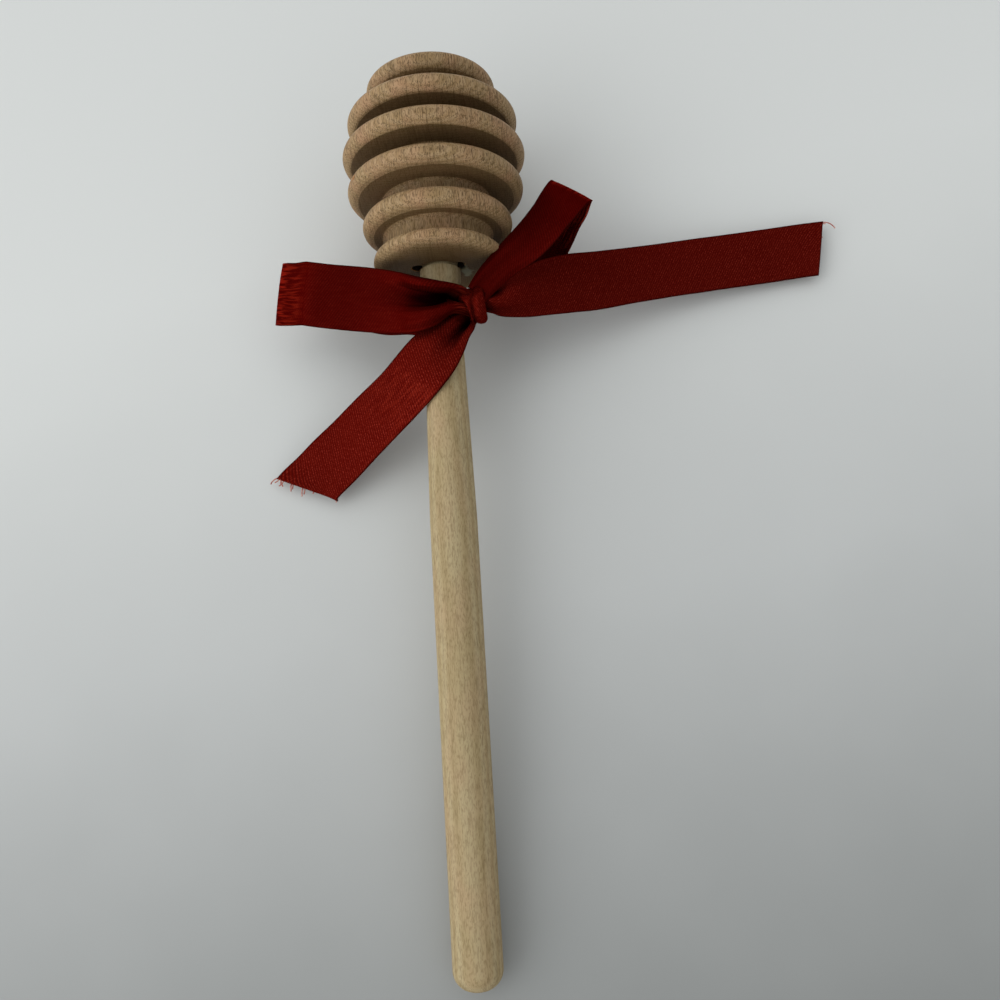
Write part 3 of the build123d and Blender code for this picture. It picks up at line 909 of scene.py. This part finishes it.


# Left tail
# The short cut end, in the lighter copy of the satin with painted glints: it comes from under the knot, lies
# over the neck and falls to the table
# Its slanting cut has frayed
left_tail_reach = 42.0 * mm
left_tail_heading = math.radians(219)
left_tail_stations = (
    (0.010, 0.010, 0.93, -10, -4, 0.26, 0.00),
    (0.055, 0.015, 0.98, -16, -2, 0.34, 0.01),
    (0.100, 0.022, 1.04, -22, 2, 0.50, 0.01),
    (0.150, 0.028, 1.05, -22, 4, 0.61, 0.03),
    (0.200, 0.030, 1.03, -16, 7, 0.80, 0.04),
    (0.270, 0.038, 0.98, -11, 12, 0.96, 0.03),
    (0.350, 0.042, 0.90, -9, 16, 1.04, 0.02),
    (0.450, 0.036, 0.75, -7, 17, 1.06, 0.02),
    (0.570, 0.020, 0.57, -4, 12, 1.03, 0.02),
    (0.700, 0.006, 0.39, -3, 7, 1.00, 0.02),
    (0.830, -0.003, 0.25, -3, 2, 1.00, 0.02),
    (0.940, -0.008, 0.15, -6, 1, 1.00, 0.02),
    (1.000, -0.005, 0.11, -27, 4, 1.14, 0.02),
)
left_tail_pleat_depth = 2.4 * mm
left_tail_pleat_profile = (
    (-0.5, 0.0, 0.1), (-0.3, 0.0, 0.3), (-0.12, 0.0, -0.1), (0.08, 0.0, -1.1), (0.2, 0.0, -0.9),
    (0.36, 0.0, 0.2), (0.5, 0.0, 0.1),
)
# place across, length in millimetres, turn and curl in degrees
left_tail_threads = (
    (-0.49, 1.9, -30, 60), (-0.47, 1.2, 20, -50), (-0.45, 1.6, 50, 30), (-0.42, 1.0, 0, 70),
    (-0.40, 1.5, 35, -60), (-0.27, 1.7, 30, 30), (-0.25, 1.2, 50, -20), (-0.08, 1.9, 25, 35),
    (-0.06, 1.4, 55, -30), (0.1, 0.7, 20, 0), (0.48, 0.8, 0, 40),
)


def left_tail_pleats(side, share, slack):
    """A deep pocket below the knot between two soft pleats"""
    aside, lift = fold_place(left_tail_pleat_profile, side)
    return aside, left_tail_pleat_depth * slack * lift


left_tail = laid_ribbon("satin_left_tail", lit_satin, left_tail_stations, left_tail_heading,
                        left_tail_reach, left_tail_pleats, left_tail_threads)
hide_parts("left_tail")


# Right tail
# The long cut end, in the lighter copy of the satin with painted glints: it slopes from the knot to the
# table and then runs just above it
# One long thread has come loose at its upper corner
right_tail_reach = 66.0 * mm
right_tail_heading = math.radians(7)
right_tail_stations = (
    (0.020, 0.006, 1.00, 9, 6, 0.26, 0.00),
    (0.045, 0.003, 1.01, 9, 12, 0.34, 0.05),
    (0.070, 0.002, 1.01, 10, 24, 0.48, 0.06),
    (0.100, 0.008, 1.00, 8, 30, 0.63, 0.05),
    (0.140, 0.019, 0.95, 6, 28, 0.77, 0.04),
    (0.190, 0.035, 0.86, 4, 21, 0.88, 0.03),
    (0.260, 0.050, 0.73, 4, 12, 0.96, 0.02),
    (0.340, 0.062, 0.58, 4, 6, 1.00, 0.02),
    (0.480, 0.083, 0.37, 5, 1, 1.00, 0.02),
    (0.660, 0.094, 0.22, 6, 0, 1.00, 0.02),
    (0.830, 0.095, 0.14, 7, 0, 1.00, 0.02),
    (0.940, 0.093, 0.12, 9, 0, 1.00, 0.02),
    (1.000, 0.088, 0.13, 19, 0, 1.03, 0.02),
)
right_tail_pleat_depth = 1.0 * mm
right_tail_pleats_across = 1.5
right_tail_threads = ((0.49, 3.0, 0, -75), (0.47, 0.8, -20, 20), (0.2, 0.5, 0, 30))


def right_tail_pleats(side, share, slack):
    """Shallow pleats that open out to the right of the knot"""
    return 0.0, right_tail_pleat_depth * slack * math.cos(math.tau * side * right_tail_pleats_across)


right_tail = laid_ribbon("satin_right_tail", lit_satin, right_tail_stations, right_tail_heading,
                         right_tail_reach, right_tail_pleats, right_tail_threads)
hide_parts("right_tail")


# Knot
# The ribbon pulled once round the bundle at the middle of the bow, with two folds over its front
# It holds the loops and the tails together and sits on the wrap, at the upper right of the neck
knot_heading = math.radians(8)
knot_length = 4.5 * mm
knot_radius = 2.75 * mm
knot_around_steps = 96
knot_across_steps = 40
knot_bulge_radius = 3.2 * mm
knot_fold_depth = 0.75 * mm
knot_tuck = 1.6 * mm                    # how far the cloth's margins turn in at the knot's ends
knot_end_margin = 0.35 * mm
knot_margin_start = 0.36                # share of the ribbon's width from its middle to a margin
knot_margin_lean = 0.3 * mm
# the knot changes by these from its top to its head side, and as much the other way to its grip side
knot_slant = 0.4 * mm                   # to the left
knot_taper = 0.45 * mm                  # longer, at each end
knot_crease_middle = -0.15              # place of the crease between the folds, in shares of half the knot
knot_crease_swing = 0.55                # to the right, in the same shares
knot_fold_swing = 0.4                   # shallower, as a share
knot_crumple = 0.22 * mm
knot_crumple_length = 1.1 * mm
knot_flat_share = 0.7                   # of the outer circle, because the gathered band fills it unevenly


def wrapped_band(name, around_steps, across_steps, band_point, flat):
    """Band of ribbon closed round something: band_point(side, angle) places the cloth"""
    mesh = bmesh.new()
    cloth = mesh.loops.layers.uv.new("cloth")
    bmesh.ops.create_grid(mesh, x_segments=across_steps, y_segments=around_steps, size=0.5)
    for face in mesh.faces:
        for loop in face.loops:
            spot = loop.vert.co
            loop[cloth].uv = ((spot.x + 0.5) * flat[0] / mm, (spot.y + 0.5) * flat[1] / mm)
    for vert in mesh.verts:
        vert.co = band_point(vert.co.x, math.tau * (vert.co.y + 0.5))
    bmesh.ops.remove_doubles(mesh, verts=mesh.verts, dist=doubles_reach)
    bmesh.ops.recalc_face_normals(mesh, faces=mesh.faces)
    made = finished(name, mesh, lit_satin)
    body = made.modifiers.new("cloth_thickness", "SOLIDIFY")
    body.thickness = ribbon_thickness
    body.offset = -1
    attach(made, "root")
    return made


def knot_point(side, angle):
    """Cloth of the knot: two slanting folds that narrow downwards, and margins tucked in at the ends"""
    half = knot_length / 2 - knot_end_margin + knot_taper * math.cos(angle)
    middle = -knot_slant * math.cos(angle)
    crease = knot_crease_middle + knot_crease_swing * math.cos(angle)
    depth = knot_fold_depth * (1 - knot_fold_swing * math.cos(angle))
    if abs(side) < knot_margin_start:
        share = side / knot_margin_start
        aside = middle + share * half
        place = (share + 1) / (crease + 1) if share < crease else (share - crease) / (1 - crease)
        out = knot_bulge_radius - depth * (1 - math.sin(math.pi * min(1.0, max(0.0, place))) ** 0.5)
    else:
        share = (abs(side) - knot_margin_start) / (0.5 - knot_margin_start)
        aside = middle + math.copysign(half - knot_margin_lean * share, side)
        out = knot_bulge_radius - depth - knot_tuck * share
    crumple_place = Vector((aside, math.cos(angle) * out, math.sin(angle) * out)) / knot_crumple_length
    out += knot_crumple * noise.noise(crumple_place)
    spot = Vector((aside, out * math.cos(angle), out * math.sin(angle)))
    return Matrix.Rotation(knot_heading, 3, "Z") @ spot + knot_centre


knot_flat = (ribbon_width, math.tau * knot_radius * knot_flat_share)
knot = wrapped_band("satin_knot", knot_around_steps, knot_across_steps, knot_point, knot_flat)
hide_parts("knot")


# Neck wrap
# The ribbon behind the bow, pulled tight round the neck so that it gathers into three ridges
# It is what ties the bow to the handle, and is mostly hidden under the bow
wrap_reach = 110.6 * mm
wrap_width = 4.4 * mm
wrap_ridges = 3
wrap_ridge_depth = 0.35 * mm
wrap_inner_radius = 3.45 * mm
wrap_twist = 0.25                       # radians that the ridges wander across on their way round
wrap_edge_power = 8                     # how suddenly the ridges sink at the edges
wrap_crumple = 0.06 * mm
wrap_crumples_across = 4
wrap_crumples_around = 2
wrap_flat_share = 0.62                  # of the inner circle, as for the knot
wrap_around_steps = 120
wrap_across_steps = 40


def wrap_point(side, angle):
    """Cloth of the wrap: a gathered band round the neck"""
    ridge = abs(math.cos(math.pi * wrap_ridges * side + wrap_twist * math.sin(angle)))
    out = wrap_inner_radius + wrap_ridge_depth * ridge * (1 - (2 * side) ** wrap_edge_power)
    around = Vector((0, math.cos(angle), math.sin(angle))) * wrap_crumples_around
    out += wrap_crumple * noise.noise(Vector((side * wrap_crumples_across, 0, 0)) + around)
    spot = Vector((out * math.cos(angle), wrap_reach + side * wrap_width, out * math.sin(angle)))
    return lying @ spot


wrap_flat = (ribbon_width, math.tau * wrap_inner_radius * wrap_flat_share)
neck_wrap = wrapped_band("satin_neck_wrap", wrap_around_steps, wrap_across_steps, wrap_point, wrap_flat)
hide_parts("neck_wrap")
